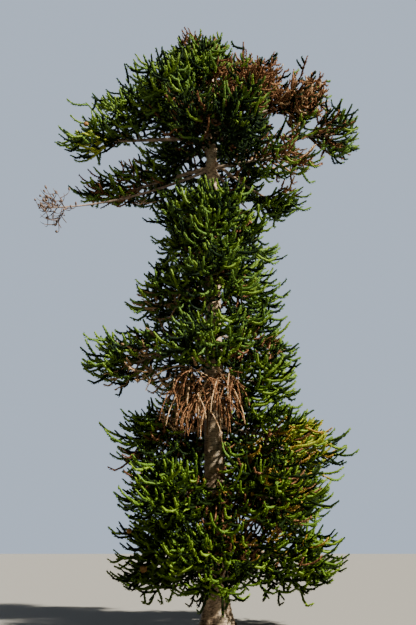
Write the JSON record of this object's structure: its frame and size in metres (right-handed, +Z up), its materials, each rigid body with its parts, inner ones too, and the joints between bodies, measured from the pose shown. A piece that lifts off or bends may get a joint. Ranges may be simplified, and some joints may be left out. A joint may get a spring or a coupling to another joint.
{
  "type": "monkey puzzle tree",
  "caption": "Tall rooted conifer with a straight trunk, whorls of bare-based limbs and rope-like spiky shoots under a broad domed top.",
  "frame": {"origin": "middle of the trunk's flat cut at ground level", "axes": "+Z up along the trunk, -Y towards the picture's viewer, +X to that viewer's right"},
  "size_m": [8.1787, 5.2432, 15.1984],
  "materials": {
    "bark": "rough grey-beige bark with branch scars and cracked plates",
    "foliage": "stiff dark green scale leaves, slightly waxy",
    "dead-foliage": "dry red-brown and tan leaves, cones and twigs",
    "dead-wood": "weathered grey-brown dead wood"
  },
  "bodies": {
    "root": {"trunk": "bark", "arm-bough-1": "bark", "arm-bough-3": "bark", "dead-bough": "dead-wood", "drop-bough-3": "bark", "slope-bough-1": "bark", "arm-foliage-1": "foliage", "arm-foliage-2": "foliage", "arm-foliage-3": "foliage", "brow-foliage-1": "foliage", "brow-foliage-2": "foliage", "collar-foliage-1": "foliage", "collar-foliage-2": "foliage", "collar-foliage-3": "foliage", "collar-foliage-4": "foliage", "crown-foliage-1": "foliage", "crown-foliage-2": "foliage", "crown-foliage-3": "foliage", "crown-foliage-4": "foliage", "dead-spray": "dead-foliage", "dome-foliage-1": "foliage", "dome-foliage-2": "foliage", "dome-foliage-3": "foliage", "dome-foliage-4": "foliage", "dome-foliage-5": "foliage", "drop-foliage-1": "foliage", "drop-foliage-2": "foliage", "drop-foliage-3": "foliage", "foot-foliage-1": "foliage", "foot-foliage-2": "foliage", "foot-foliage-3": "foliage", "foot-foliage-4": "foliage", "hanging-dead-foliage": "dead-foliage", "leader-foliage": "foliage", "lower-foliage-1": "foliage", "lower-foliage-2": "foliage", "lower-foliage-3": "foliage", "lower-foliage-4": "foliage", "middle-foliage-1": "foliage", "middle-foliage-2": "foliage", "middle-foliage-3": "foliage", "middle-foliage-4": "foliage", "peak-foliage-1": "foliage", "peak-foliage-2": "foliage", "peak-foliage-3": "foliage", "sash-foliage-1": "foliage", "sash-foliage-2": "foliage", "skirt-foliage-1": "foliage", "skirt-foliage-2": "foliage", "skirt-foliage-3": "foliage", "skirt-foliage-4": "foliage", "slope-foliage-1": "foliage", "upper-foliage-1": "foliage", "upper-foliage-2": "foliage", "upper-foliage-3": "foliage", "upper-foliage-4": "foliage", "waist-foliage-1": "foliage", "waist-foliage-2": "foliage", "waist-foliage-3": "foliage", "waist-foliage-4": "foliage"}
  },
  "joints": []
}
